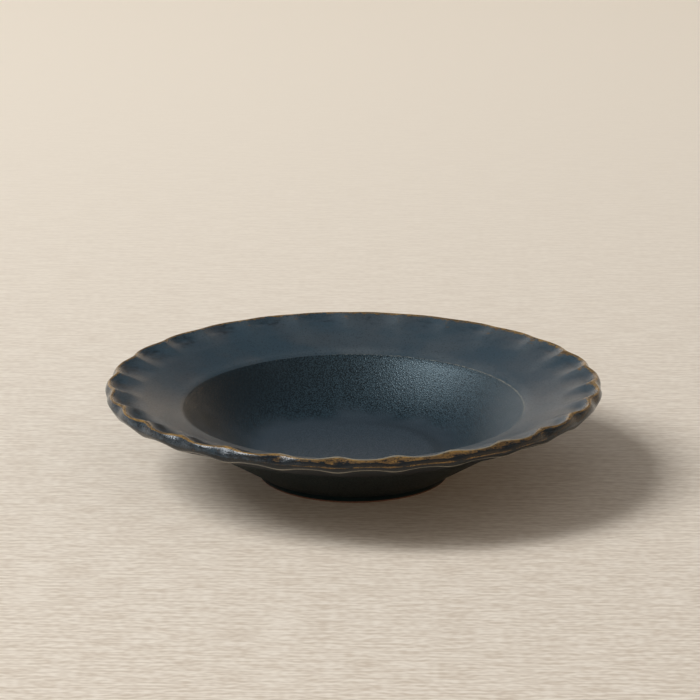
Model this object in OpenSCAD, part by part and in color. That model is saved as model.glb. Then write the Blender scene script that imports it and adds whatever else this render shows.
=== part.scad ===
// Stoneware pasta bowl: a round well, a wide flange with a fluted flower lip and a turned foot ring.
// The clay body is made in three forms, and four coats of glaze lie on it.
// Sizes are in millimetres. The origin is on the table, on the axis of the bowl.

/* [Bowl] */
// Diameter over the petals of the lip
bowl_d = 249; // [230:1:270]
// Height from the table to the ridges of the lip
bowl_h = 49.5; // [46:0.5:54]
// Thickness of the glaze
glaze_t = 0.4; // [0.3:0.05:0.6]

/* [Well] */
// Diameter of the well at the shoulder, where the flange begins
well_d = 171; // [160:1:180]
// Height of the shoulder above the table
shoulder_h = 36; // [34:0.5:38]
// Thickness of the body under the shoulder
shoulder_t = 8.4; // [7.5:0.1:10]
// How much wider the body is below the shoulder than at it
shoulder_flare = 2.5; // [1.5:0.1:4]
// Diameter of the floor, where the wall begins to rise
floor_d = 100; // [92:1:106]
// Height of the floor above the table
floor_h = 12.4; // [11.5:0.1:13.5]
// Diameter of the shallow disc in the middle of the floor
centre_d = 80; // [60:1:86]
// Depth of that disc
centre_sink = 0.4; // [0.2:0.1:0.8]

/* [Fluted rim] */
// Number of flutes round the rim
flutes = 27; // [22:1:29]
// Height of the lip's face in the middle of a petal
lip_h = 5.6; // [5:0.1:6.4]
// How far the lip's face stands out from its upper edge
lip_round = 1.9; // [1.4:0.1:3]
// How far the lip's face stands out from its lower edge
lip_under = 1.6; // [1:0.1:2.2]
// How far a ridge stands above the petals beside it
ridge_rise = 0.6; // [0.3:0.1:1.2]
// How far a ridge draws in the lip's upper edge
ridge_pull = 2.5; // [1.5:0.1:3]
// How far the lip's lower edge dips below a ridge
ridge_dip = 1.6; // [0.9:0.1:2.2]
// How far the lip's face and lower edge are drawn in below a ridge
pinch = 0.7; // [0.3:0.1:1.2]
// Depth of the pit that is pressed into the upper bevel below a ridge
pit = 0.7; // [0.4:0.1:1.2]
// How far the flange hangs below a straight line from the shoulder to the lip
flange_sag = 0.8; // [0.3:0.1:1.2]
// Length of the flutes on the flange, from the lip inwards
flute_len = 15; // [12:1:20]

/* [Foot] */
// Diameter of the foot at its top, where the wall begins
foot_d = 97.2; // [92:0.2:104]
// Height of the foot, seen from outside
foot_h = 3.4; // [2.6:0.1:4]
// How far the foot's outer side draws in towards the table
foot_lean = 0.8; // [0.4:0.1:1.4]
// Width of the foot ring at the table
foot_w = 6; // [5:0.1:8]
// Height of the bare clay below the glaze
foot_bare = 1; // [0.8:0.1:1.4]
// Rounding of the bare edges
foot_edge = 0.6; // [0.3:0.1:0.7]
// Height of the glazed recess inside the foot ring
recess_h = 5; // [4.6:0.1:5.5]

/* [Hidden] */
$fn = 180;

clay = "#8d6b4c";
bare_clay = "#6e4630";
well_blue = "#2f3d4b";
rim_blue = "#38434e";
wall_black = "#171b1d";

bowl_r = bowl_d / 2;
well_r = well_d / 2;
floor_r = floor_d / 2;
centre_r = centre_d / 2;
foot_r = foot_d / 2;

// Steps round one flute, and round the whole rim
flute_steps = 6;
rim_steps = flutes * flute_steps;
// The rim is a ring of flat facets. This factor keeps its inner side outside the round well.
facet_fit = 1 / cos(180 / rim_steps);
// Powers that narrow a ridge and a pit, compared with a plain wave
ridge_power = 1.6;
pit_power = 5;
// Power by which a flute grows from its start, before it levels out at the lip
growth_power = 1.2;
// Flatness of the two bevels of the lip's face, between an oval and straight lines
lip_flat = 0.7;
// Height of the edge between the bevels, as a share of the face
lip_split = 0.43;
// Angles round the lip's face, from the flange over the crest to the underside
lip_angles = [100, 90, 55, 25, 0, -45, -72];
// Stations along the flange, as shares of its width
flange_stations = [0.35, 0.58, 0.76, 0.9];

// The wall curves up from the floor: part hollow bend, part steady steepening
wall_steps = 12;
bend = 0.15;
bend_share = 0.55;
// Half the width of the soft step round the disc in the floor
centre_step = 1;
// Steps of a rounded foot edge
edge_steps = 3;

// Side of a path's direction that faces the clay
function clay_side(v) = [v.y, -v.x] / norm(v);

// Outline below a coat of glaze: each corner of the path moves into the clay by the coat's thickness
function under_coat(path) = [
    for (i = [0 : len(path) - 1])
        let (
            before = clay_side(path[max(i, 1)] - path[max(i, 1) - 1]),
            last = len(path) - 2,
            after = clay_side(path[min(i, last) + 1] - path[min(i, last)])
        )
        path[i] + glaze_t * (before + after) / (1 + before * after)
];

// The well and the rim meet on the line from the shoulder to the knee below it
shoulder = [well_r, shoulder_h];
knee = [well_r + shoulder_flare, shoulder_h - shoulder_t];
joint_way = (knee - shoulder) / norm(knee - shoulder);
clay_shoulder = shoulder + glaze_t * joint_way;
clay_knee = knee - glaze_t * joint_way;

// Same list with other first and last points
function with_ends(list, first, last) = [first, for (i = [1 : len(list) - 2]) list[i], last];

// Rise of the well's wall from the floor to the shoulder, 0 to 1, at a share u of its width
function hollow(u) = (sqrt(u * u + bend * bend) - bend) / (sqrt(1 + bend * bend) - bend);
function wall_rise(u) = bend_share * hollow(u) + (1 - bend_share) * u * u;

// Glaze surface of the well, from the axis to the shoulder
well_path = [
    [0, floor_h - centre_sink],
    [centre_r - centre_step, floor_h - centre_sink],
    [centre_r + centre_step, floor_h],
    for (i = [0 : wall_steps])
        let (u = i / wall_steps)
        [floor_r + (well_r - floor_r) * u, floor_h + (shoulder_h - floor_h) * wall_rise(u)]
];
well_clay = with_ends(under_coat(well_path), [0, floor_h - centre_sink - glaze_t], clay_shoulder);

// Glaze surface of the outside, from the knee down to the end of the glaze on the foot
wall_path = [knee, [foot_r, foot_h], [foot_r - foot_lean, foot_bare]];
wall_bare = under_coat(wall_path);
wall_clay = with_ends(wall_bare, clay_knee, wall_bare[2]);
seat = wall_clay[1];
foot_side = wall_clay[2];
foot_inner = foot_side.x - foot_w;

// Strength of a ridge and of the pit below it at a step round the rim, 1 at a ridge
function wave(step) = (1 + cos(360 * step / flute_steps)) / 2;
function ridge(step) = pow(wave(step), ridge_power);
function pressed(step) = pow(wave(step), pit_power);

// Point of the lip's face at an angle, where k is the ridge and q the pit.
// Two bevels meet in an edge at 0 degrees, and the pit hollows the upper one.
function lip_point(angle, k, q) =
    let (
        top = bowl_h - ridge_rise * (1 - k),
        low = bowl_h - ridge_rise - lip_h - ridge_dip * k,
        edge = low + lip_split * (top - low),
        front = bowl_r - pinch * k,
        back = angle > 0 ? bowl_r - lip_round - ridge_pull * k : front - lip_under,
        level = abs(sin(angle)),
        reach = (1 - lip_flat) * cos(angle) + lip_flat * (1 - level),
        scoop = angle > 0 ? pit * q * pow(4 * level * (1 - level), 2) : 0,
        height = edge + (angle > 0 ? top - edge : edge - low) * sin(angle)
    )
    [back + (front - back) * reach - scoop, height];

// Depth of a flute, 0 to 1, after a share t of its length
function growth(t) = pow(t, growth_power) * (1 + growth_power * (1 - t));

// Glaze surface of the rim at one step, from the shoulder over the flange and lip to the knee.
// The flange hangs a little, and the petals between the ridges fall away towards the lip.
function rim_path(step) =
    let (
        k = ridge(step),
        q = pressed(step),
        crest = lip_point(lip_angles[0], 1, 1),
        fall = lip_point(lip_angles[0], k, q) - crest,
        start = 1 - flute_len / (crest.x - well_r),
        edge = lip_point(lip_angles[len(lip_angles) - 1], k, q)
    )
    [
        shoulder,
        for (f = flange_stations)
            shoulder + f * (crest - shoulder) - [0, 4 * flange_sag * f * (1 - f)]
                + growth(max(0, f - start) / (1 - start)) * fall,
        for (angle = lip_angles) lip_point(angle, k, q),
        (edge + knee) / 2,
        knee
    ];

// Clay surface of the rim at one step
function rim_clay(step) = with_ends(under_coat(rim_path(step)), clay_shoulder, clay_knee);

// Glaze coat of the rim at one step: out along its surface and back along the clay
function rim_coat(step) =
    let (inside = rim_clay(step))
    [each rim_path(step), for (i = [len(inside) - 1 : -1 : 0]) inside[i]];

// Ring lofted through closed sections, one at each step round the rim. Each four-sided patch is cut along a
// diagonal. From the point named back_from on, a section runs backwards, and so do its diagonals.
module loft_ring(sections, back_from) {
    size = len(sections[0]);
    count = len(sections);
    points = [
        for (s = [0 : count - 1], p = sections[s])
            let (turn = 360 * s / count, r = p.x * facet_fit)
            [r * cos(turn), r * sin(turn), p.y]
    ];
    faces = [
        for (s = [0 : count - 1], i = [0 : size - 1])
            let (
                a = s * size + i,
                b = s * size + (i + 1) % size,
                next = ((s + 1) % count) * size,
                c = next + (i + 1) % size,
                d = next + i
            )
            each i < back_from ? [[a, b, c], [a, c, d]] : [[a, b, d], [b, c, d]]
    ];
    polyhedron(points, faces, convexity = 4);
}

// Turned form from a closed outline
module turned(outline) {
    rotate_extrude() polygon(outline);
}

// Coat turned between a glaze surface and the clay below it
module turned_coat(surface, below) {
    turned([each surface, for (i = [len(below) - 1 : -1 : 0]) below[i]]);
}

// Quarter round of the foot, from one angle to another about a centre
function foot_round(centre, from) = [
    for (i = [0 : edge_steps])
        let (a = from + 90 * i / edge_steps)
        centre + foot_edge * [cos(a), sin(a)]
];

// Floor and wall of the bowl
module well() {
    color(clay) turned([
        [0, recess_h + glaze_t],
        [foot_inner, recess_h + glaze_t],
        [foot_inner, seat.y],
        seat,
        clay_knee,
        for (i = [len(well_clay) - 1 : -1 : 0]) well_clay[i]
    ]);
}

// Flange with its flutes and pinched lip
module fluted_rim() {
    color(clay) loft_ring([for (s = [0 : rim_steps - 1]) rim_clay(s)], len(rim_clay(0)));
}

// Ring that the bowl stands on, bare below the glaze
module foot_ring() {
    color(bare_clay) turned([
        [foot_inner, seat.y],
        each foot_round([foot_inner + foot_edge, foot_edge], 180),
        each foot_round([foot_side.x - foot_edge, foot_edge], 270),
        foot_side,
        seat
    ]);
}

// Blue glaze inside the well
module well_glaze() {
    color(well_blue) turned_coat(well_path, well_clay);
}

// Blue glaze over the flange, round the lip and under the flange
module rim_glaze() {
    color(rim_blue) loft_ring([for (s = [0 : rim_steps - 1]) rim_coat(s)], len(rim_clay(0)));
}

// Dark glaze on the outside, down to the bare edge of the foot
module wall_glaze() {
    color(wall_black) turned_coat(wall_path, wall_clay);
}

// Dark glaze in the recess inside the foot ring
module base_glaze() {
    color(wall_black) turned([
        [0, recess_h],
        [foot_inner - glaze_t, recess_h],
        [foot_inner - glaze_t, foot_bare],
        [foot_inner, foot_bare],
        [foot_inner, recess_h + glaze_t],
        [0, recess_h + glaze_t]
    ]);
}

well();
fluted_rim();
foot_ring();
well_glaze();
rim_glaze();
wall_glaze();
base_glaze();
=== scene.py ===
"""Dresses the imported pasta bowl: smooth clay forms, four coats of glaze and a plain pale stage.

Every surface of the bowl is turned about the Z axis. A row is one point of a profile, and a column is
one angle round the bowl.
"""

import math

import bpy
import numpy as np
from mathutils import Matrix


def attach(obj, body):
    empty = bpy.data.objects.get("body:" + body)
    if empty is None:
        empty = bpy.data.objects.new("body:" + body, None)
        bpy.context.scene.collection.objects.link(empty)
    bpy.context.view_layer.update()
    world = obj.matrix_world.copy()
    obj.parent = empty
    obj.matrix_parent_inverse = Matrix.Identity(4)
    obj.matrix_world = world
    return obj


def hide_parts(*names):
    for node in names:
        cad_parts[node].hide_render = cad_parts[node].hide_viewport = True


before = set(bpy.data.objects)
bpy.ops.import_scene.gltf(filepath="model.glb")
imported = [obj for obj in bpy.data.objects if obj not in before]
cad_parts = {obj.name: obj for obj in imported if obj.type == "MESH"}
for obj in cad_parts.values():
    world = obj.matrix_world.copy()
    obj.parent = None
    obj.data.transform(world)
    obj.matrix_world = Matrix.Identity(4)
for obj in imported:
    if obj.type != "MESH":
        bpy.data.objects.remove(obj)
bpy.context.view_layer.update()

bl_info = {
    "name": "Fluted Pasta Bowl",
    "version": (1, 0, 0),
    "blender": (4, 5, 0),
    "location": "View3D > Sidebar > Bowl",
    "description": "Builds a glazed stoneware pasta bowl with a fluted rim, and a plain stage for it",
    "category": "Add Mesh",
}

MM = 0.001
BODY = "root"

# Columns round one flute, and round a plain turned form
FLUTE_COLUMNS = 24
TURN_COLUMNS = 288
# Rows along the parts of a profile
SHOULDER_ROWS = 9
FLANGE_ROWS = 32
LIP_ROWS = 42
UNDER_ROWS = 12
WALL_ROWS = 48
STEP_ROWS = 11
EDGE_ROWS = 9
SWEEP_ROWS = 25
# The rows of the wall crowd towards the shoulder by this power
WALL_CROWDING = 1.4
# The hidden side of a rim coat keeps every third row
HIDDEN_STEP = 3
# An edge sharper than this stays crisp
CRISP_ANGLE = math.radians(38)
# Two heights closer than this, in metres, count as one
HAIR = 1e-6
# Step that measures the slope of the wall, as a share of its width
SLOPE_STEP = 1e-4
# Width of the camera's sensor in millimetres
SENSOR_WIDTH = 36

# Powers, shares and angles of the form, as in the part's source
RIDGE_POWER = 1.6
PIT_POWER = 5
GROWTH_POWER = 1.2
LIP_SPLIT = 0.43
LIP_START = math.radians(100)
LIP_END = math.radians(-72)
BEND = 0.15
BEND_SHARE = 0.55
# Finer parts of the form, for the dressed bowl alone
PETAL_FLAT = 0.3
RIDGE_FLAT = 0.38
BEAD_POWER = 40
GROOVE_PLACE = 4 * MM
GROOVE_WIDTH = 2.2 * MM
CENTRE_STEP = 4 * MM
FOOT_CORNER = 0.9 * MM

# Sides of the bowl where a bend, a glaze, or painted light, shade or reflection is strongest, in degrees
# about Z from +X
DRIFT_SIDE = 251
LEAN_SIDE = 312
WARP_SIDE = 319
RIPPLE_SIDE = 344
OCHRE_LIP_SIDE = 286
OCHRE_CREST_SIDE = 25
OCHRE_FOLD_SIDE = 15
SHOULDER_HIGHLIGHT_SIDE = 5
PAINTED_LIGHT_FLANGE_SIDE = 48
LEFT_SIDE = 175
PAINTED_DARK_REFLECTION_SIDE = 238
PAINTED_REFLECTION_WELL_SIDE = 222
PAINTED_LIGHT_WELL_SIDE = 352
PAINTED_SHADE_WELL_SIDE = 155
RING_SIDE = 10


def length(name, description, default_mm):
    """Property for a length, given in millimetres and kept in metres."""
    return bpy.props.FloatProperty(
        name=name, description=description, default=default_mm * MM, min=0, precision=5,
        subtype="DISTANCE", unit="LENGTH",
    )


def colour(name, description, default):
    """Property for a linear colour."""
    return bpy.props.FloatVectorProperty(
        name=name, description=description, default=default, size=3, min=0, max=1, precision=4,
        subtype="COLOR",
    )


def turn(name, description, default_degrees):
    """Property for an angle, given in degrees and kept in radians."""
    return bpy.props.FloatProperty(
        name=name, description=description, default=math.radians(default_degrees),
        subtype="ANGLE", unit="ROTATION",
    )


def factor(name, description, default):
    """Property for a plain number."""
    return bpy.props.FloatProperty(name=name, description=description, default=default, min=0)


class BowlSizes(bpy.types.PropertyGroup):
    """Sizes of the bowl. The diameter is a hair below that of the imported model, so that it stays inside."""

    bowl_d: length("Bowl diameter", "Diameter over the petals of the lip", 248.9)
    bowl_h: length("Bowl height", "Height from the table to the highest ridge of the lip", 49.5)
    glaze_t: length("Glaze thickness", "Thickness of every coat of glaze", 0.4)
    well_d: length("Well diameter", "Diameter of the well at the shoulder", 171)
    shoulder_h: length("Shoulder height", "Height of the shoulder above the table", 36)
    shoulder_t: length("Shoulder thickness", "Thickness of the body under the shoulder", 8.4)
    shoulder_flare: length("Shoulder flare", "How much wider the body is below the shoulder", 2.5)
    shoulder_round: length("Shoulder rounding", "Half the width of the rounded shoulder", 3.2)
    floor_d: length("Floor diameter", "Diameter where the wall begins to rise", 100)
    floor_h: length("Floor height", "Height of the floor above the table", 12.4)
    centre_d: length("Centre diameter", "Diameter of the shallow disc in the floor", 80)
    centre_sink: length("Centre depth", "Depth of the shallow disc in the floor", 0.4)
    flutes: bpy.props.IntProperty(name="Flutes", description="Number of flutes", default=27, min=12)
    lip_h: length("Lip height", "Height of the lip's face in the middle of a petal", 5.6)
    lip_round: length("Lip rounding", "How far the face stands out from its upper edge", 1.9)
    lip_under: length("Lip undercut", "How far the face stands out from its lower edge", 2.2)
    ridge_rise: length("Ridge rise", "How far a ridge stands above the petals", 0.6)
    ridge_pull: length("Ridge pull", "How far a ridge draws in the upper edge", 2.5)
    ridge_dip: length("Ridge dip", "How far the lower edge dips below a ridge", 1.6)
    pinch: length("Pinch", "How far the face is drawn in below a ridge", 0.7)
    pit: length("Pit depth", "Depth of the pit pressed into the face below a ridge", 0.22)
    flange_sag: length("Flange sag", "How far the flange hangs below a straight line", 0.8)
    groove: length("Groove", "Depth of the shallow groove inside the crest", 0.6)
    tilt: length("Tilt", "How far the rim is raised at the front right", 0.58)
    warp: length("Warp", "How far the rim bends up at two opposite sides", 0.27)
    ripple: length("Ripple", "How far the rim bends up at three sides", 0.26)
    bead: length("Bead", "Height of the narrow bead along a ridge", 0.35)
    flute_len: length("Flute length", "Length of the flutes on the flange", 15)
    drift: turn("Flute drift", "How far hand-pressed flutes stray from even spacing", 0.7)
    foot_d: length("Foot diameter", "Diameter of the foot at its top", 97.2)
    foot_h: length("Foot height", "Height of the foot, seen from outside", 3.4)
    foot_lean: length("Foot lean", "How far the foot draws in towards the table", 0.8)
    foot_w: length("Foot width", "Width of the foot ring at the table", 6)
    foot_bare: length("Bare foot", "Height of the bare clay below the glaze", 1)
    foot_edge: length("Foot edge", "Rounding of the bare edges", 0.6)
    recess_h: length("Recess height", "Height of the glazed recess inside the foot", 5)


class GlazeColours(bpy.types.PropertyGroup):
    """Colours of the glazes and of the clay."""

    slate: colour("Slate", "Rim glaze where it is of even thickness", (0.027, 0.047, 0.062))
    # Slate painted light: paler slate that paints light on the ridges, beside the shoulder, on the right of
    # the flange and on the right of the well
    slate_painted_light: colour("Light slate", "Paler rim glaze, and the right of the well", (0.066, 0.082, 0.092))
    slate_grey: colour("Slate grey", "Rim glaze in its duller clouds", (0.036, 0.047, 0.056))
    ochre: colour("Ochre", "Rim glaze where it is thin over an edge", (0.28, 0.162, 0.046))
    # Pale also paints highlight in the lines along the shoulder and the crest
    pale: colour("Pale", "Thin glaze on sharp edges", (0.24, 0.22, 0.17))
    umber: colour("Umber", "Thin rim glaze where it is darker", (0.10, 0.06, 0.026))
    pool: colour("Pool", "Rim glaze where it is thick, as in the pits", (0.003, 0.0045, 0.006))
    well_blue: colour("Well blue", "Flecks of the well's glaze", (0.020, 0.037, 0.048))
    well_black: colour("Well black", "Ground of the well's glaze", (0.002, 0.0036, 0.005))
    floor_blue: colour("Floor blue", "The well's glaze on the floor", (0.040, 0.053, 0.065))
    well_tint: colour("Well tint", "Tint of the light that the well reflects", (0.72, 0.92, 1.0))
    wall_black: colour("Wall black", "Glaze of the outside", (0.002, 0.0085, 0.0105))
    wall_green: colour("Wall green", "Glaze of the outside in its lighter clouds", (0.0045, 0.0115, 0.013))
    clay: colour("Clay", "Body of the bowl below the glaze", (0.27, 0.17, 0.10))
    clay_dark: colour("Dark clay", "Darker grains in the body", (0.16, 0.09, 0.05))
    bare: colour("Bare clay", "Unglazed foot", (0.16, 0.08, 0.05))
    bare_dark: colour("Dark bare clay", "Darker grains of the unglazed foot", (0.07, 0.035, 0.022))


class StageSettings(bpy.types.PropertyGroup):
    """Floor, light and camera."""

    floor: colour("Floor", "Colour of the floor", (0.86, 0.755, 0.63))
    # The paler far floor is painted light
    floor_far_painted_light: colour("Far floor", "Colour of the floor far behind the bowl", (0.965, 0.842, 0.69))
    floor_grain: colour("Floor grain", "Darker streaks of the floor", (0.63, 0.515, 0.40))
    # The sweep's colours paint the room's light: cool and bright at the left, warm at the right and dark at
    # the top
    sweep_left: colour("Sweep left", "Left side of the sweep behind, out of sight", (0.84, 0.82, 0.80))
    sweep_right: colour("Sweep right", "Right side of the sweep behind, out of sight", (0.98, 0.80, 0.60))
    sweep_top_painted_shade: colour("Sweep top", "Upper part of the sweep, out of sight", (0.20, 0.21, 0.23))
    horizon: colour("Horizon", "Light from the left, near the floor", (1.0, 0.95, 0.90))
    shade: colour("Shade", "Light from the right, near the floor", (0.92, 0.67, 0.44))
    overhead: colour("Overhead", "Light from above and behind", (0.10, 0.12, 0.14))
    overhead_front: colour("Overhead front", "Light from above and in front", (0.28, 0.28, 0.28))
    room: factor("Room", "Strength of the light from all round", 1.2)
    bright_side: bpy.props.FloatVectorProperty(
        name="Bright side", description="Direction of the brighter side of the room",
        default=(-0.95, 0.3, 0), size=3, subtype="DIRECTION",
    )
    key_power: factor("Key light", "Power of the soft light at the left, in watts", 64)
    core_power: factor("Key core", "Power of the brighter middle of the key light, in watts", 84)
    key_colour: colour("Key colour", "Colour of the key light", (0.92, 0.96, 1.0))
    key_distance: length("Key distance", "Distance of the key light from the bowl", 4000)
    key_width: length("Key width", "Width of the key light", 2400)
    key_height: length("Key height", "Height of the key light", 1900)
    core_width: length("Core width", "Width of the brighter middle", 1000)
    core_height: length("Core height", "Height of the brighter middle", 1900)
    key_rise: turn("Key elevation", "Elevation of the key light", 46)
    core_rise: turn("Core elevation", "Elevation of the brighter middle", 48)
    key_azimuth: turn("Key azimuth", "Direction of the key light, from +X towards +Y", 194.5)
    camera_turn: turn("Camera turn", "Turn of the camera and the stage about the bowl", 1)
    camera_side: length("Camera side step", "How far the camera stands to the left", 1.85)
    camera_back: length("Camera distance", "How far the camera stands in front of the bowl", 2000)
    camera_rise: length("Camera height", "Height of the camera above the table", 684.7)
    camera_tilt: turn("Camera tilt", "How far the camera looks down", 17.23)
    lens: factor("Lens", "Focal length in millimetres on a sensor 36 mm wide", 215.49)


class NodeTree:
    """Node tree under construction. Most calls add a node and give its output socket."""

    def __init__(self, tree):
        self.tree = tree

    def feed(self, socket, value):
        """Links a socket to another node's output, or sets a colour, direction or number on it."""
        if isinstance(value, bpy.types.NodeSocket):
            self.tree.links.new(value, socket)
        elif socket.type == "RGBA":
            socket.default_value = (*value, 1)
        else:
            socket.default_value = value

    def node(self, kind, inputs, **settings):
        """New node of one kind with its settings, and with what some of its inputs are fed."""
        node = self.tree.nodes.new(kind)
        for name, value in settings.items():
            setattr(node, name, value)
        for key, value in inputs.items():
            self.feed(node.inputs[key], value)
        return node

    def towards(self, way, axis):
        """Share of a direction that points along an axis."""
        node = self.node("ShaderNodeVectorMath", {0: way, 1: axis}, operation="DOT_PRODUCT")
        return node.outputs["Value"]

    def spread(self, value, low, high, start=0.0, end=1.0):
        """Maps low to start and high to end on a smooth curve, and keeps to those ends outside."""
        inputs = {"Value": value, "From Min": low, "From Max": high, "To Min": start, "To Max": end}
        return self.node("ShaderNodeMapRange", inputs, interpolation_type="SMOOTHSTEP").outputs[0]

    def mix(self, share, first, second):
        """First colour where the share is 0, second where it is 1."""
        node = self.node("ShaderNodeMix", {0: share}, data_type="RGBA")
        start, end = (socket for socket in node.inputs if socket.type == "RGBA")
        self.feed(start, first)
        self.feed(end, second)
        return next(socket for socket in node.outputs if socket.type == "RGBA")

    def plus(self, first, second):
        """Sum of two numbers."""
        return self.node("ShaderNodeMath", {0: first, 1: second}, operation="ADD").outputs[0]

    def times(self, first, second):
        """Product of two numbers."""
        return self.node("ShaderNodeMath", {0: first, 1: second}, operation="MULTIPLY").outputs[0]


class Finish(NodeTree):
    """Material under construction, with the noise and the attributes that make its surface uneven."""

    def __init__(self, name, roughness, shine, tint=(1, 1, 1)):
        self.material = bpy.data.materials.new(name)
        self.material.use_nodes = True
        super().__init__(self.material.node_tree)
        self.shader = self.tree.nodes["Principled BSDF"]
        self.set("Roughness", roughness)
        self.set("Specular IOR Level", shine)
        self.set("Specular Tint", tint)
        self.place = self.node("ShaderNodeTexCoord", {}).outputs["Object"]

    def set(self, name, value):
        """Feeds a socket of the shader."""
        self.feed(self.shader.inputs[name], value)

    def attribute(self, name):
        """Number kept on each point of the mesh."""
        return self.node("ShaderNodeAttribute", {}, attribute_name=name).outputs["Fac"]

    def noise(self, size, detail=2, roughness=0.5, stretch=(1, 1, 1)):
        """Cloudy noise, 0 to 1, with features of about the size in metres, drawn out along the axes."""
        scale = [1 / (size * part) for part in stretch]
        scaled = self.node("ShaderNodeMapping", {"Vector": self.place, "Scale": scale}).outputs["Vector"]
        inputs = {"Vector": scaled, "Scale": 1, "Detail": detail, "Roughness": roughness}
        return self.node("ShaderNodeTexNoise", inputs).outputs["Fac"]

    def ragged(self, value, noise, reach, low=0.2, high=0.8):
        """Value that noise shifts by up to the reach either way, so that its borders are ragged."""
        return self.plus(value, self.spread(noise, low, high, -reach, reach))

    def along(self, axis):
        """Distance from the origin along one axis, in metres."""
        return self.node("ShaderNodeSeparateXYZ", {0: self.place}).outputs[axis]

    def bump(self, height, depth, below=None):
        """Normal of a surface that rises and falls by up to the given depth in metres."""
        inputs = {"Height": height, "Distance": depth}
        if below is not None:
            inputs["Normal"] = below
        return self.node("ShaderNodeBump", inputs).outputs["Normal"]


def placed(name, data):
    """New object of the scene, at the origin."""
    item = bpy.data.objects.new(name, data)
    bpy.context.scene.collection.objects.link(item)
    return item


def even_turn(columns):
    """Angles of the columns, evenly spread round the bowl."""
    return np.linspace(0, 2 * np.pi, columns, endpoint=False)


def turned(name, rows, angle, closed, points=None):
    """Mesh of a surface turned about the Z axis.

    Point (i, j) lies at radius rows[0][i, j] and height rows[1][i, j], at angle[j] about Z. A closed
    profile joins its last row to its first. An open one begins and ends with a point on the axis, the
    pole that closes it. The signed area of the profile says which way it runs, and a profile that runs
    anticlockwise is turned round, so that faces point outwards. points names values that go with the
    points, each an array like the rows.
    """
    points = points or {}
    radius, height, *values = (
        np.broadcast_to(part, (len(part), len(angle))) for part in (*rows, *points.values())
    )
    table = np.stack((radius * np.cos(angle), radius * np.sin(angle), height, *values), axis=-1)
    r, z = radius[:, 0], height[:, 0]
    area = np.sum(r * np.roll(z, -1) - np.roll(r, -1) * z)
    if area > 0:
        table = table[::-1]
    column_count, layer_count = table.shape[1:]
    kept = slice(None) if closed else slice(1, -1)
    grid = np.zeros(table.shape[:2], dtype=int)
    grid[kept] = np.arange(grid[kept].size).reshape(-1, column_count)
    beside = np.roll(grid, -1, axis=1)
    below, below_beside = np.roll(grid, -1, axis=0), np.roll(beside, -1, axis=0)
    patches = np.stack((grid, below, below_beside, beside), axis=-1)
    patches = (patches if closed else patches[1:-2]).reshape(-1, 4)
    flat = table[kept].reshape(-1, layer_count)
    loops, starts = patches.ravel(), np.arange(len(patches)) * 4
    if not closed:
        poles = len(flat) + np.zeros((2, column_count), dtype=int) + [[0], [1]]
        first_cap = np.stack((poles[0], grid[1], beside[1]), axis=-1)
        last_cap = np.stack((poles[1], beside[-2], grid[-2]), axis=-1)
        caps = np.concatenate((first_cap, last_cap)).ravel()
        starts = np.concatenate((starts, len(loops) + np.arange(2 * column_count) * 3))
        loops = np.concatenate((loops, caps))
        flat = np.concatenate((flat, table[[0, -1], 0]))
    mesh = bpy.data.meshes.new(name)
    mesh.vertices.add(len(flat))
    mesh.vertices.foreach_set("co", flat[:, :3].astype(np.float32).ravel())
    mesh.loops.add(len(loops))
    mesh.loops.foreach_set("vertex_index", loops.astype(np.int32))
    mesh.polygons.add(len(starts))
    mesh.polygons.foreach_set("loop_start", starts.astype(np.int32))
    for key, part in zip(points, flat.T[3:]):
        layer = mesh.attributes.new(key, "FLOAT", "POINT")
        layer.data.foreach_set("value", part.astype(np.float32))
    mesh.update(calc_edges=True)
    if mesh.validate():
        raise RuntimeError(f"the mesh of {name} had faults")
    mesh.shade_smooth()
    mesh.set_sharp_from_angle(angle=CRISP_ANGLE)
    return placed(name, mesh)


def swung(angle, x, y, z):
    """Place turned by an angle about the Z axis."""
    cos, sin = math.cos(angle), math.sin(angle)
    return x * cos - y * sin, x * sin + y * cos, z


def seat_piece(piece, finish, node):
    """Gives a piece its material, and puts it on the body in place of its node."""
    piece.data.materials.append(finish.material)
    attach(piece, BODY)
    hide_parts(node)


def column(*points):
    """Profile from single points, as one column of radii and one of heights."""
    table = np.array(points, dtype=float)
    return table[:, :1], table[:, 1:]


def soft_path(corners, rounding, steps=8):
    """Profile along corners, whose inner corners are rounded.

    At each inner corner the path leaves the straight side at the rounding's distance and follows the curve
    (1-t)^2 start + 2 t (1-t) corner + t^2 end to the same distance on the next side.
    """
    corners = np.array(corners, dtype=float)
    ways = np.diff(corners, axis=0)
    ways /= np.linalg.norm(ways, axis=1)[:, None]
    t = np.linspace(0, 1, steps)[:, None]
    parts = [corners[:1]]
    for corner, before, after in zip(corners[1:-1], ways[:-1], ways[1:]):
        start, end = corner - rounding * before, corner + rounding * after
        parts.append((1 - t) ** 2 * start + 2 * t * (1 - t) * corner + t**2 * end)
    parts.append(corners[-1:])
    return column(*np.concatenate(parts))


def under_coat(rows, depth):
    """Surface below a coat: each point moves by the depth to the right of the profile's direction."""
    along_r, along_z = (np.gradient(part, axis=0) for part in rows)
    size = np.hypot(along_r, along_z)
    return rows[0] + depth * along_z / size, rows[1] - depth * along_r / size


def with_ends(rows, first, last):
    """Same profile with other first and last points."""
    radius, height = rows[0].copy(), rows[1].copy()
    radius[0], height[0] = first
    radius[-1], height[-1] = last
    return radius, height


def joined(*profiles):
    """One profile from several, one after the other."""
    return tuple(np.concatenate(parts) for parts in zip(*profiles))


def coat_rows(outside, inside):
    """Profile of a coat: along its outside and back along its inside."""
    return joined(outside, [part[::-1] for part in inside])


def uneven(angle, side, power, least, most):
    """From least, opposite a side of the bowl, to most at that side, by ((1 + cos) / 2) to the power."""
    return least + (most - least) * ((1 + np.cos(angle - math.radians(side))) / 2) ** power


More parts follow.
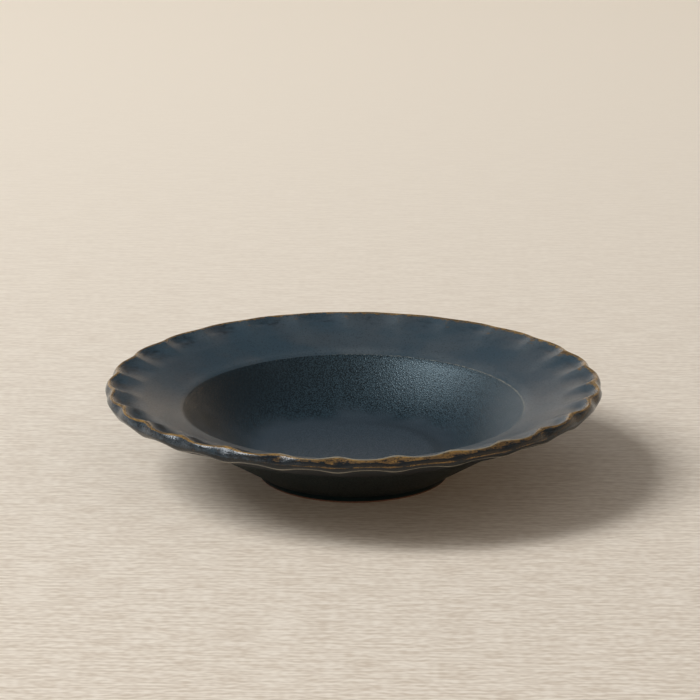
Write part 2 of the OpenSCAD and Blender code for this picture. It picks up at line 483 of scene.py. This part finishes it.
def shoulder_line_and_highlight(angle):
    """Strength of the thin pale line at the shoulder: thin glaze on the edge, with painted highlight that is
    clearest at the right and fainter at the left.
    """
    return uneven(angle, SHOULDER_HIGHLIGHT_SIDE, 1.5, 0.4, 0.76)


def softened(part, times=4):
    """Rows whose inner edges are rounded: each row is averaged with its neighbours, some times over."""
    part = part.copy()
    for _ in range(times):
        part[1:-1] = (part[:-2] + 2 * part[1:-1] + part[2:]) / 4
    return part


def glaze_warmth(angle):
    """Share of ochre on the lip, large at the front, a little to the right, and small elsewhere."""
    return uneven(angle, OCHRE_LIP_SIDE, 8, 0.08, 1.0)


def smooth(value, low, high):
    """0 below low, 1 above high, and the curve t^2 (3 - 2 t) between them."""
    t = np.clip((value - low) / (high - low), 0, 1)
    return t * t * (3 - 2 * t)


def hump(value, middle, width):
    """Bell curve exp(-((value - middle) / width)^2)."""
    return np.exp(-(((value - middle) / width) ** 2))


class Form:
    """Points that several pieces share, worked out from the sizes."""

    def __init__(self, sizes):
        self.sizes = sizes
        self.bowl_r = sizes.bowl_d / 2
        self.well_r = sizes.well_d / 2
        self.floor_r = sizes.floor_d / 2
        rise = (self.wall_rise(1.0) - self.wall_rise(1.0 - SLOPE_STEP)) / SLOPE_STEP
        self.wall_slope = rise * (sizes.shoulder_h - sizes.floor_h) / (self.well_r - self.floor_r)
        self.corner = np.array([self.well_r, sizes.shoulder_h])
        self.crest = np.array(self.lip_point(LIP_START, 1.0, 1.0))
        self.across = self.crest - self.corner
        self.flange_slope = (self.across[1] - 4 * sizes.flange_sag) / self.across[0]
        self.flute_start = 1 - sizes.flute_len / self.across[0]
        self.knee = self.corner + [sizes.shoulder_flare, -sizes.shoulder_t]
        way = (self.knee - self.corner) / np.linalg.norm(self.knee - self.corner)
        self.clay_shoulder = self.corner + [0, self.shoulder_drop(0.0)] + sizes.glaze_t * way
        self.clay_knee = self.knee - sizes.glaze_t * way

    def wall_rise(self, u):
        """Rise of the well's wall, 0 to 1: part the hollow bend sqrt(u^2 + b^2) - b, part u^2."""
        bend = (np.sqrt(u * u + BEND**2) - BEND) / (math.sqrt(1 + BEND**2) - BEND)
        return BEND_SHARE * bend + (1 - BEND_SHARE) * u * u

    def shoulder_drop(self, x):
        """Height of the rounded shoulder less that of the sharp one, at a distance x out from it.

        Over twice the half-width w the slope goes smoothly from the wall's to the flange's. With
        t = (x + w) / 2w, the height is wall x + (flange - wall) 2w (t^3 - t^4 / 2), and the height of the
        sharp corner is taken off it.
        """
        w = self.sizes.shoulder_round
        t = np.clip((x + w) / (2 * w), 0, 1)
        change = self.flange_slope - self.wall_slope
        rounded = self.wall_slope * x + change * 2 * w * (t**3 - t**4 / 2)
        sharp = np.where(x < 0, self.wall_slope * x, self.flange_slope * x)
        return np.where(np.abs(x) < w, rounded - sharp, 0.0)

    def lip_point(self, a, k, q):
        """Radius and height of the lip's face at an angle a, where k is the ridge and q the pit, 0 to 1.

        The face has an upper and a lower bevel, from the crest at 90 degrees to the lower edge at -90, that
        meet in an edge at 0. Each is part a quarter of an ellipse and part a flat slope, which is a little
        more on the ridges. A ridge lifts the crest and draws it in, and lets the lower edge dip. Its pit
        hollows the upper bevel by (4 h (1 - h))^2, where h is the height on that bevel, 0 to 1.
        """
        s = self.sizes
        top = s.bowl_h - s.ridge_rise * (1 - k)
        low = s.bowl_h - s.ridge_rise - s.lip_h - s.ridge_dip * k
        edge = low + LIP_SPLIT * (top - low)
        front = self.bowl_r - s.pinch * k
        back = np.where(a > 0, self.bowl_r - s.lip_round - s.ridge_pull * k, front - s.lip_under)
        level = np.abs(np.sin(a))
        flat = PETAL_FLAT + (RIDGE_FLAT - PETAL_FLAT) * k
        reach = (1 - flat) * np.cos(a) + flat * (1 - level)
        scoop = np.where(a > 0, s.pit * q * (4 * level * (1 - level)) ** 2, 0.0)
        height = edge + np.where(a > 0, top - edge, edge - low) * np.sin(a)
        return back + (front - back) * reach - scoop, height

    def flute_waves(self, angle):
        """Strength of the ridge and of its pit at each angle, and the plain wave (1 + cos) / 2 below both."""
        strayed = angle - self.sizes.drift * np.cos(angle - math.radians(DRIFT_SIDE))
        wave = (1 + np.cos(self.sizes.flutes * strayed)) / 2
        return wave**RIDGE_POWER, wave**PIT_POWER, wave

    def rim_sag(self, angle):
        """How far the crest lies below its highest point: three cosines with one, two and three lobes."""
        s = self.sizes
        waves = ((s.tilt, LEAN_SIDE), (s.warp, WARP_SIDE), (s.ripple, RIPPLE_SIDE))
        lean = sum(
            size * np.cos(lobes * (angle - math.radians(side))) for lobes, (size, side) in enumerate(waves, 1)
        )
        return lean.max() - lean

    def well_surface(self):
        """Glaze surface of the well, from the axis over the floor's disc and up the wall to the shoulder."""
        s = self.sizes
        disc_r = s.centre_d / 2
        flat_r = np.linspace(0, self.floor_r, WALL_ROWS // 2, endpoint=False)
        low, high = disc_r - CENTRE_STEP, disc_r + CENTRE_STEP
        step_r = np.linspace(low, high, STEP_ROWS)
        inner = np.sort(np.concatenate((flat_r[np.abs(flat_r - disc_r) > CENTRE_STEP], step_r)))
        inner_z = s.floor_h - s.centre_sink * (1 - smooth(inner, low, high))
        u = 1 - np.linspace(1, 0, WALL_ROWS) ** WALL_CROWDING
        wall_r = self.floor_r + (self.well_r - self.floor_r) * u
        wall_z = s.floor_h + (s.shoulder_h - s.floor_h) * self.wall_rise(u)
        wall_z = wall_z + self.shoulder_drop(wall_r - self.well_r)
        return [part[:, None] for part in joined((inner, inner_z), (wall_r, wall_z))]

    def well_clay(self):
        """Clay surface below the well's glaze."""
        surface = self.well_surface()
        start = (0.0, surface[1][0, 0] - self.sizes.glaze_t)
        return with_ends(under_coat(surface, self.sizes.glaze_t), start, self.clay_shoulder)

    def wall_surface(self):
        """Glaze surface of the outside, from the knee down the wall and round into the foot."""
        s = self.sizes
        foot_r = s.foot_d / 2
        corners = (self.knee, (foot_r, s.foot_h), (foot_r - s.foot_lean, s.foot_bare))
        return soft_path(corners, FOOT_CORNER)

    def wall_clay(self):
        """Clay surface below the outer glaze."""
        radius, height = under_coat(self.wall_surface(), self.sizes.glaze_t)
        radius[0], height[0] = self.clay_knee
        return radius, height

    def seat(self):
        """Corner of the clay between wall and foot, end of the glaze there, and the ring's inner radius."""
        s = self.sizes
        corner = np.array([s.foot_d / 2, s.foot_h])
        end = corner - [s.foot_lean, s.foot_h - s.foot_bare]
        ways = [corner - self.knee, end - corner]
        before, after = (np.array([way[1], -way[0]]) / np.linalg.norm(way) for way in ways)
        seat = corner + s.glaze_t * (before + after) / (1 + before @ after)
        side = end + s.glaze_t * after
        return seat, side, side[0] - s.foot_w

    def flange_shares(self):
        """Rows of the flange as shares of the way from the shoulder to the crest, closest at the shoulder."""
        rounded = self.sizes.shoulder_round / self.across[0]
        near = np.linspace(0, rounded, SHOULDER_ROWS, endpoint=False)
        return np.concatenate((near, np.linspace(rounded, 1, FLANGE_ROWS)))[:, None]

    def lip_angles(self):
        """Rows of the lip's face as angles, from just inside the crest down towards the lower edge."""
        return np.linspace(LIP_START, LIP_END, LIP_ROWS + 1)[1:, None]

    def rim_surface(self, angle):
        """Glaze surface of the rim from the shoulder over the flange and round the lip to the knee.

        The flange hangs by 4 s (1 - s) times its sag below a straight line, where s is the share of the way
        to the crest. The petals between the ridges fall away towards the lip by t^p (1 + p (1 - t)), where
        t is the share of the flute that has been passed and p the growth power. A bead runs along each
        ridge, and a groove runs inside the crest.
        """
        s = self.sizes
        k, q, wave = self.flute_waves(angle)
        share = self.flange_shares()
        passed = np.clip(share - self.flute_start, 0, None) / (1 - self.flute_start)
        growth = passed**GROWTH_POWER * (1 + GROWTH_POWER * (1 - passed))
        begin_r, begin_z = self.lip_point(LIP_START, k, q)
        flange_r = self.corner[0] + share * self.across[0] + growth * (begin_r - self.crest[0])
        flange_z = self.corner[1] + share * self.across[1] + growth * (begin_z - self.crest[1])
        flange_z = flange_z + self.shoulder_drop(flange_r - self.corner[0])
        bead = wave**BEAD_POWER * smooth(share, self.flute_start, 1) * hump(share, 0.96, 0.5)
        flange_z = flange_z + s.bead * bead * (1 - smooth(share, 0.97, 1))
        inward = (1 - share) * self.across[0]
        flange_z = flange_z - s.groove * (1 - 0.7 * k) * hump(inward, GROOVE_PLACE, GROOVE_WIDTH)
        sag = self.rim_sag(angle)
        flange_z = flange_z - sag * share**2 - 4 * s.flange_sag * share * (1 - share)
        lip_r, lip_z = (softened(part) for part in self.lip_point(self.lip_angles(), k, q))
        lip_z = lip_z - sag
        under = np.linspace(0, 1, UNDER_ROWS + 1)[1:, None]
        under_r = lip_r[-1] + under * (self.knee[0] - lip_r[-1])
        under_z = lip_z[-1] + under * (self.knee[1] - lip_z[-1])
        return joined((flange_r, flange_z), (lip_r, lip_z), (under_r, under_z))

    def rim_values(self, angle):
        """Values of the glaze on the rim's surface: thin, pool, line, light, matt and lip.

        Each is worked out for the flange, the face of the lip and the underside. Glaze is thin along the
        crest, the folds and the bulge of the lip, pools between the ridges and in the pits, and leaves a
        line on the sharpest edges. The pale line on the shoulder and the crest is partly painted highlight,
        pool also paints shade between the ridges at the left and a dark reflection inside the crest at the
        front left, and light is painted light along the ridges, beside the shoulder and on the right of the
        flange. The glaze is matt underneath.
        """
        k, _, wave = self.flute_waves(angle)
        share, a = self.flange_shares(), self.lip_angles()
        outward, inward = share * self.across[0], (1 - share) * self.across[0]
        on_flute = smooth(share, self.flute_start, 1)
        crest = 0.9 * hump(inward, 0, uneven(angle, OCHRE_CREST_SIDE, 2, 0.9 * MM, 1.8 * MM))
        fold = uneven(angle, OCHRE_FOLD_SIDE, 4, 0.4, 0.65) * wave**8 * on_flute
        # Pale line at the shoulder: thin glaze, with painted highlight
        shoulder = shoulder_line_and_highlight(angle) * hump(outward, 0, 0.6 * MM)
        ridge = uneven(angle, LEFT_SIDE, 2, 0.36, 0.7) * wave**55 * on_flute
        # Glaze pools in the petals near the lip, and painted shade makes them darker at the left
        petal = uneven(angle, LEFT_SIDE, 2, 0.35, 0.6) * (1 - k) * hump(inward, 5 * MM, 8 * MM)
        # Painted dark reflection: pool colour in a strip inside the crest, strongest at the front left
        groove = uneven(angle, PAINTED_DARK_REFLECTION_SIDE, 4, 0, 0.9) * hump(inward, 6 * MM, 4 * MM)
        # Painted light: paler slate along the ridges, on the right of the flange and in a band beside the
        # shoulder
        painted_ridge_light = 0.65 * wave**2 * smooth(share, 0.15, 0.85)
        painted_shoulder_light = 0.6 * hump(outward, 2.5 * MM, 3 * MM)
        light = painted_ridge_light + uneven(angle, PAINTED_LIGHT_FLANGE_SIDE, 4, 0, 0.5) + painted_shoulder_light
        degrees = np.degrees(a)
        warmth = glaze_warmth(angle)
        beside_pit = self.flute_waves(angle - 0.12 * 2 * np.pi / self.sizes.flutes)[2]
        pit = beside_pit**6 * hump(np.sin(a), 0.2, 0.35)
        band_end = 34 - 22 * k
        band = 0.8 * warmth * smooth(degrees, band_end - 8, band_end + 8) * (1 - 0.9 * pit)
        bulge = (0.1 + 0.85 * warmth) * hump(degrees, -4, 9) * (1 - 0.8 * pit)
        upper_edge = smooth(degrees, 48, 64)
        # Pale line along the crest: thin glaze, with painted highlight
        crest_line_and_highlight = 0.9 * smooth(warmth, 0.25, 0.75) * smooth(degrees, 60, 76)
        lower_line = 1 - smooth(degrees, -57, -45)
        upper_pool = (1 - smooth(degrees, 45, 80)) * (0.5 + 0.5 * warmth)
        lower_pool = 1 - smooth(degrees, -12, 0)
        values = {
            "thin": (np.maximum(crest, fold), np.maximum(upper_edge, np.maximum(band, bulge)), 0),
            "pool": (np.maximum(petal, groove), np.maximum(upper_pool, lower_pool), 1),
            "line": (np.maximum(shoulder, ridge), lower_line + crest_line_and_highlight, 0),
            "light": (light, 0, 0),
            "matt": (groove, smooth(-degrees, 62, 72), 1),
            "lip": (hump(inward, 0, 1.5 * MM), 1, 0),
        }
        blanks = [np.zeros((rows, len(angle))) for rows in (len(share), LIP_ROWS, UNDER_ROWS)]
        return {
            name: np.concatenate([part + blank for part, blank in zip(parts, blanks)])
            for name, parts in values.items()
        }

    def rim_clay(self, rows):
        """Clay surface below the rim's glaze, with fewer rows because it is hidden."""
        below = under_coat(rows, self.sizes.glaze_t)
        below = with_ends(below, self.clay_shoulder[:, None], self.clay_knee[:, None])
        kept = np.unique(np.append(np.arange(0, len(below[0]), HIDDEN_STEP), len(below[0]) - 1))
        return below[0][kept], below[1][kept]


def clay_finish(name, light, dark, roughness):
    """Matt fired clay: two browns in clouds and grains, with a fine gritty surface."""
    finish = Finish(name, roughness, 0.2)
    grains = finish.spread(finish.noise(0.7 * MM, detail=3), 0.42, 0.66)
    clouds = finish.noise(9 * MM, detail=3)
    finish.set("Base Color", finish.mix(finish.times(grains, clouds), light, dark))
    finish.set("Normal", finish.bump(finish.noise(0.5 * MM), 0.06 * MM))
    return finish


def rim_finish(colours):
    """Slate blue satin glaze that breaks ochre where it is thin and pools black-blue in the pits.

    Painted light makes it paler along the ridges, beside the shoulder and on the right of the flange, and it
    is matt on the underside. Its pools also paint shade between the ridges at the left and a dark reflection
    inside the crest at the front left, and its pale line is partly painted highlight. These places come
    from the values of the rim, and noise of several sizes makes their borders ragged.
    """
    finish = Finish("rim_glaze", 0.3, 0.33)
    broad = finish.noise(26 * MM, detail=3)
    mottle = finish.noise(2.2 * MM, detail=4, roughness=0.65, stretch=(1.6, 1.6, 0.6))
    fleck = finish.noise(0.8 * MM)
    streak = finish.noise(1.1 * MM, stretch=(4, 4, 0.4))
    lip = finish.attribute("lip")
    ground = finish.mix(finish.spread(broad, 0.35, 0.65), colours.slate, colours.slate_grey)
    # Painted light: the light value turns the slate paler
    light = finish.times(finish.attribute("light"), finish.spread(broad, 0.35, 0.65, 0.3, 1.0))
    ground = finish.mix(light, ground, colours.slate_painted_light)
    ground = finish.mix(finish.spread(fleck, 0.5, 0.72, 0, 0.45), ground, colours.pool)
    pooled = finish.ragged(finish.attribute("pool"), mottle, 0.25)
    ground = finish.mix(finish.spread(pooled, 0.3, 0.85, 0, 0.92), ground, colours.pool)
    thin = finish.ragged(finish.attribute("thin"), mottle, 0.3)
    thin = finish.ragged(thin, streak, 0.25, 0.25, 0.75)
    edge = finish.mix(finish.spread(streak, 0.35, 0.65), colours.ochre, colours.umber)
    coloured = finish.mix(finish.spread(thin, 0.42, 0.8, 0, 0.92), ground, edge)
    specks = finish.times(lip, finish.spread(fleck, 0.56, 0.68, 0, 0.8))
    coloured = finish.mix(specks, coloured, colours.pool)
    line = finish.ragged(finish.attribute("line"), mottle, 0.2)
    coloured = finish.mix(finish.spread(line, 0.45, 0.95, 0, 0.85), coloured, colours.pale)
    finish.set("Base Color", coloured)
    satin = finish.plus(finish.spread(fleck, 0.3, 0.7, 0.28, 0.36), finish.times(lip, -0.17))
    finish.set("Roughness", finish.plus(satin, finish.times(finish.attribute("matt"), 0.5)))
    waves = finish.bump(finish.noise(7 * MM), 0.05 * MM)
    grain = finish.times(fleck, finish.spread(lip, 0, 1, 0.08, 0.5))
    finish.set("Normal", finish.bump(grain, 0.2 * MM, waves))
    return finish


def well_finish(colours):
    """Blue-black satin glaze with fine blue flecks on the wall, smoother and greyer on the floor.

    Painted shade makes the wall darker at the left and painted light makes it paler at the right, the floor's
    grey reaches up the wall at the front left as a painted reflection, and a faint dark ring lies round the
    disc.
    """
    finish = Finish("inner_glaze", 0.42, 0.5, colours.well_tint)
    fleck = finish.noise(0.62 * MM, detail=1)
    clouds = finish.noise(20 * MM, detail=3)
    wall = finish.mix(finish.spread(fleck, 0.42, 0.58), colours.well_black, colours.well_blue)
    # Painted shade darkens the wall at the left, and painted light makes it paler at the right
    wall = finish.mix(finish.attribute("dark"), wall, colours.well_black)
    wall = finish.mix(finish.attribute("light"), wall, colours.slate_painted_light)
    level = finish.mix(finish.spread(fleck, 0.3, 0.75, 0, 0.5), colours.floor_blue, colours.well_black)
    level = finish.mix(finish.attribute("ring"), level, colours.well_black)
    # Where the wall value is low the floor's grey shows on the wall, a painted reflection at the front left
    on_wall = finish.ragged(finish.attribute("wall"), clouds, 0.25)
    coloured = finish.mix(finish.spread(on_wall, 0.15, 0.85), level, wall)
    thin = finish.ragged(finish.attribute("thin"), fleck, 0.3)
    coloured = finish.mix(finish.spread(thin, 0.5, 1.0, 0, 0.7), coloured, colours.pale)
    finish.set("Base Color", coloured)
    finish.set("Roughness", finish.spread(fleck, 0.35, 0.65, 0.28, 0.44))
    finish.set("Normal", finish.bump(fleck, 0.2 * MM))
    return finish


def outer_finish(colours):
    """Black-green satin glaze with faint clouds and a fine grain."""
    finish = Finish("outer_glaze", 0.4, 0.1)
    clouds = finish.spread(finish.noise(14 * MM, detail=4), 0.35, 0.65)
    grain = finish.noise(0.8 * MM)
    finish.set("Base Color", finish.mix(clouds, colours.wall_black, colours.wall_green))
    finish.set("Roughness", finish.spread(grain, 0.3, 0.7, 0.36, 0.5))
    finish.set("Normal", finish.bump(grain, 0.05 * MM))
    return finish


class BOWL_OT_clay_body(bpy.types.Operator):
    """Builds the clay of the well and of the fluted rim, below the glaze"""

    bl_idname = "bowl.clay_body"
    bl_label = "Clay body"

    def execute(self, context):
        colours, sizes = context.scene.bowl_colours, context.scene.bowl_sizes
        form = Form(sizes)
        seat, _, inner = form.seat()
        ceiling = sizes.recess_h + sizes.glaze_t
        wall = form.wall_clay()
        above_seat = wall[1][:, 0] > seat[1] + HAIR
        rest = column(seat, (inner, seat[1]), (inner, ceiling), (0, ceiling))
        profile = joined(form.well_clay(), [part[above_seat] for part in wall], rest)
        finish = clay_finish("clay_body", colours.clay, colours.clay_dark, 0.85)
        well = turned("well_clay", profile, even_turn(TURN_COLUMNS), False)
        seat_piece(well, finish, "well")
        angle = even_turn(sizes.flutes * FLUTE_COLUMNS)
        rim = turned("rim_clay", form.rim_clay(form.rim_surface(angle)), angle, True)
        seat_piece(rim, finish, "fluted_rim")
        return {"FINISHED"}


class BOWL_OT_foot_ring(bpy.types.Operator):
    """Builds the bare ring that the bowl stands on"""

    bl_idname = "bowl.foot_ring"
    bl_label = "Foot ring"

    def execute(self, context):
        colours, sizes = context.scene.bowl_colours, context.scene.bowl_sizes
        seat, side, inner = Form(sizes).seat()
        edge = sizes.foot_edge
        quarter = np.linspace(0, np.pi / 2, EDGE_ROWS)
        fall, rise = edge * (1 - np.sin(quarter)), edge * (1 - np.cos(quarter))
        outer = np.stack((side[0] - rise, fall), axis=1)
        inward = np.stack((inner + fall, rise), axis=1)
        profile = column((inner, seat[1]), seat, side, *outer, *inward)
        ring = turned("foot_clay", profile, even_turn(TURN_COLUMNS), True)
        finish = clay_finish("bare_clay", colours.bare, colours.bare_dark, 0.8)
        seat_piece(ring, finish, "foot_ring")
        return {"FINISHED"}


class BOWL_OT_well_coat(bpy.types.Operator):
    """Builds the speckled blue glaze inside the well"""

    bl_idname = "bowl.well_coat"
    bl_label = "Well glaze"

    def execute(self, context):
        sizes = context.scene.bowl_sizes
        form = Form(sizes)
        surface, clay = form.well_surface(), form.well_clay()
        radius = surface[0]
        angle = even_turn(TURN_COLUMNS)
        high = smooth(radius, form.floor_r + 8 * MM, form.well_r - 4 * MM)
        on_wall = smooth(radius, form.floor_r - 14 * MM, form.floor_r + 20 * MM)
        ring_r = sizes.centre_d / 2 + 2 * MM
        shares = {
            # Less wall at the front left lets the floor's grey paint a reflection there
            "wall": uneven(angle, PAINTED_REFLECTION_WELL_SIDE, 5, 1, 0.25) * on_wall,
            # Pale line at the shoulder: thin glaze, with painted highlight
            "thin": shoulder_line_and_highlight(angle) * hump(radius, form.well_r, 0.6 * MM),
            # Painted light on the right of the wall, and painted shade on the left
            "light": uneven(angle, PAINTED_LIGHT_WELL_SIDE, 5, 0, 0.65) * high,
            "dark": uneven(angle, PAINTED_SHADE_WELL_SIDE, 5, 0, 0.75) * high**0.5,
            "ring": uneven(angle, RING_SIDE, 2, 0, 0.45) * hump(radius, ring_r, 3.5 * MM),
        }
        hidden = np.zeros((len(clay[0]), len(angle)))
        values = {name: np.concatenate((share, hidden)) for name, share in shares.items()}
        piece = turned("well_coat", coat_rows(surface, clay), angle, False, values)
        seat_piece(piece, well_finish(context.scene.bowl_colours), "well_glaze")
        return {"FINISHED"}


class BOWL_OT_rim_coat(bpy.types.Operator):
    """Builds the slate blue glaze over the flange, round the lip and under the flange"""

    bl_idname = "bowl.rim_coat"
    bl_label = "Rim glaze"

    def execute(self, context):
        sizes = context.scene.bowl_sizes
        form = Form(sizes)
        angle = even_turn(sizes.flutes * FLUTE_COLUMNS)
        surface = form.rim_surface(angle)
        clay = form.rim_clay(surface)
        hidden = np.zeros_like(clay[0])
        values = {name: np.concatenate((part, hidden)) for name, part in form.rim_values(angle).items()}
        piece = turned("rim_coat", coat_rows(surface, clay), angle, True, values)
        seat_piece(piece, rim_finish(context.scene.bowl_colours), "rim_glaze")
        return {"FINISHED"}


class BOWL_OT_outer_coats(bpy.types.Operator):
    """Builds the black-green glaze of the outside and of the recess inside the foot"""

    bl_idname = "bowl.outer_coats"
    bl_label = "Outer glaze"

    def execute(self, context):
        sizes = context.scene.bowl_sizes
        form = Form(sizes)
        finish = outer_finish(context.scene.bowl_colours)
        angle = even_turn(TURN_COLUMNS)
        wall = turned("wall_coat", coat_rows(form.wall_surface(), form.wall_clay()), angle, True)
        seat_piece(wall, finish, "wall_glaze")
        thick, inner = sizes.glaze_t, form.seat()[2]
        ceiling = sizes.recess_h
        profile = column(
            (0, ceiling + thick),
            (inner, ceiling + thick),
            (inner, sizes.foot_bare),
            (inner - thick, sizes.foot_bare),
            (inner - thick, ceiling),
            (0, ceiling),
        )
        seat_piece(turned("base_coat", profile, angle, False), finish, "base_glaze")
        return {"FINISHED"}


class BOWL_OT_stage(bpy.types.Operator):
    """Builds the pale floor with its sweep, the soft light from the left and the camera"""

    bl_idname = "bowl.stage"
    bl_label = "Stage"

    def execute(self, context):
        stage = context.scene.bowl_stage
        self.make_floor(stage)
        self.make_light(context, stage)
        self.make_camera(context, stage)
        return {"FINISHED"}

    def make_floor(self, stage):
        """Floor that rises behind in a quarter circle to a wall, in metres: a profile carried across."""
        bend, front, back, top, half = 0.7, -3.5, 2.2, 1.3, 4.0
        arc = np.linspace(0, np.pi / 2, SWEEP_ROWS)
        depth = np.concatenate(([front, 0.0], back + bend * np.sin(arc), [back + bend]))
        rise = np.concatenate(([0.0, 0.0], bend * (1 - np.cos(arc)), [top]))
        x, y = np.meshgrid([-half, half], depth)
        z = np.repeat(rise[:, None], 2, axis=1)
        points = np.stack(swung(stage.camera_turn, x, y, z), axis=-1).reshape(-1, 3)
        faces = np.arange(len(depth) - 1)[:, None] * 2 + [0, 1, 3, 2]
        mesh = bpy.data.meshes.new("floor")
        mesh.from_pydata(points.tolist(), [], faces.tolist(), shade_flat=False)
        finish = Finish("pale_floor", 0.75, 0.28)
        across, depth = finish.along("X"), finish.along("Y")
        threads = finish.spread(finish.noise(2.2 * MM, detail=0, stretch=(9, 1, 1)), 0.3, 0.7, 0, 0.55)
        weave = finish.spread(finish.noise(2.1 * MM, detail=0, stretch=(2, 1, 1)), 0.3, 0.7, 0, 0.45)
        grain = finish.times(finish.plus(threads, weave), finish.spread(depth, -0.6, 1.0, 1, 0.1))
        near = finish.mix(grain, stage.floor, stage.floor_grain)
        # Painted light: the floor turns paler towards the back
        ground = finish.mix(finish.spread(depth, 0.1, 1.2), near, stage.floor_far_painted_light)
        # Painted room light on the sweep: cool left, warm right, dark top
        sweep = finish.mix(finish.spread(across, -0.8, 0.8), stage.sweep_left, stage.sweep_right)
        height = finish.along("Z")
        sweep = finish.mix(finish.spread(height, 0.7, 1.25), sweep, stage.sweep_top_painted_shade)
        finish.set("Base Color", finish.mix(finish.spread(height, 0.0, 0.3), ground, sweep))
        mesh.materials.append(finish.material)
        floor = placed("floor", mesh)

    def make_light(self, context, stage):
        """Soft box at the left with a brighter middle, and a room pale all round and dark overhead."""
        for name in ("key", "core"):
            self.make_lamp(stage, name)
        world = bpy.data.worlds.new("room")
        world.use_nodes = True
        room = NodeTree(world.node_tree)
        way = room.node("ShaderNodeTexCoord", {}).outputs["Generated"]
        sideways = room.spread(room.towards(way, stage.bright_side), -0.7, 0.7)
        forwards = room.spread(room.towards(way, (0, -1, 0)), -0.5, 0.5)
        upwards = room.spread(room.towards(way, (0, 0, 1)), 0, 0.55)
        level = room.mix(sideways, stage.shade, stage.horizon)
        above = room.mix(forwards, stage.overhead, stage.overhead_front)
        background = world.node_tree.nodes["Background"].inputs
        room.feed(background["Color"], room.mix(upwards, level, above))
        room.feed(background["Strength"], stage.room)
        context.scene.world = world

    def make_lamp(self, stage, name):
        """Area light at the key's azimuth and distance, turned towards the bowl."""
        light = bpy.data.lights.new(name, "AREA")
        light.shape = "RECTANGLE"
        light.color = stage.key_colour
        light.energy, light.size, light.size_y, rise = (
            getattr(stage, f"{name}_{part}") for part in ("power", "width", "height", "rise")
        )
        flat, azimuth = math.cos(rise), stage.key_azimuth
        way = np.array([math.cos(azimuth) * flat, math.sin(azimuth) * flat, math.sin(rise)])
        lamp = placed(name, light)
        lamp.location = way * stage.key_distance
        lamp.rotation_euler = lamp.location.to_track_quat("Z", "Y").to_euler()

    def make_camera(self, context, stage):
        """Camera of a long lens in front of the bowl, above it and looking down."""
        lens = bpy.data.cameras.new("camera")
        lens.lens, lens.sensor_width = stage.lens, SENSOR_WIDTH
        side, back = -stage.camera_side, -stage.camera_back
        camera = placed("camera", lens)
        camera.location = swung(stage.camera_turn, side, back, stage.camera_rise)
        camera.rotation_euler = (math.pi / 2 - stage.camera_tilt, 0, stage.camera_turn)
        context.scene.camera = camera
        context.scene.view_settings.view_transform = "Standard"


class BOWL_PT_panel(bpy.types.Panel):
    """Lists the steps that build the bowl, and its sizes and colours"""

    bl_idname = "BOWL_PT_panel"
    bl_label = "Pasta bowl"
    bl_space_type = "VIEW_3D"
    bl_region_type = "UI"
    bl_category = "Bowl"

    def draw(self, context):
        for operator in OPERATORS:
            self.layout.operator(operator.bl_idname)
        for name in GROUPS:
            group = getattr(context.scene, name)
            box = self.layout.box()
            for key in group.bl_rna.properties.keys():
                if key not in ("rna_type", "name"):
                    box.prop(group, key)


GROUPS = {"bowl_sizes": BowlSizes, "bowl_colours": GlazeColours, "bowl_stage": StageSettings}
OPERATORS = (
    BOWL_OT_clay_body,
    BOWL_OT_foot_ring,
    BOWL_OT_well_coat,
    BOWL_OT_rim_coat,
    BOWL_OT_outer_coats,
    BOWL_OT_stage,
)
CLASSES = (*GROUPS.values(), *OPERATORS, BOWL_PT_panel)


def register():
    """Registers the classes and puts the settings on the scene."""
    for part in CLASSES:
        bpy.utils.register_class(part)
    for name, group in GROUPS.items():
        setattr(bpy.types.Scene, name, bpy.props.PointerProperty(type=group))


def unregister():
    """Takes the settings off the scene and unregisters the classes."""
    for name in GROUPS:
        delattr(bpy.types.Scene, name)
    for part in reversed(CLASSES):
        bpy.utils.unregister_class(part)


def main():
    """Builds the bowl and its stage."""
    register()
    bpy.ops.bowl.clay_body()
    bpy.ops.bowl.foot_ring()
    bpy.ops.bowl.well_coat()
    bpy.ops.bowl.rim_coat()
    bpy.ops.bowl.outer_coats()
    bpy.ops.bowl.stage()


if __name__ == "__main__":
    main()
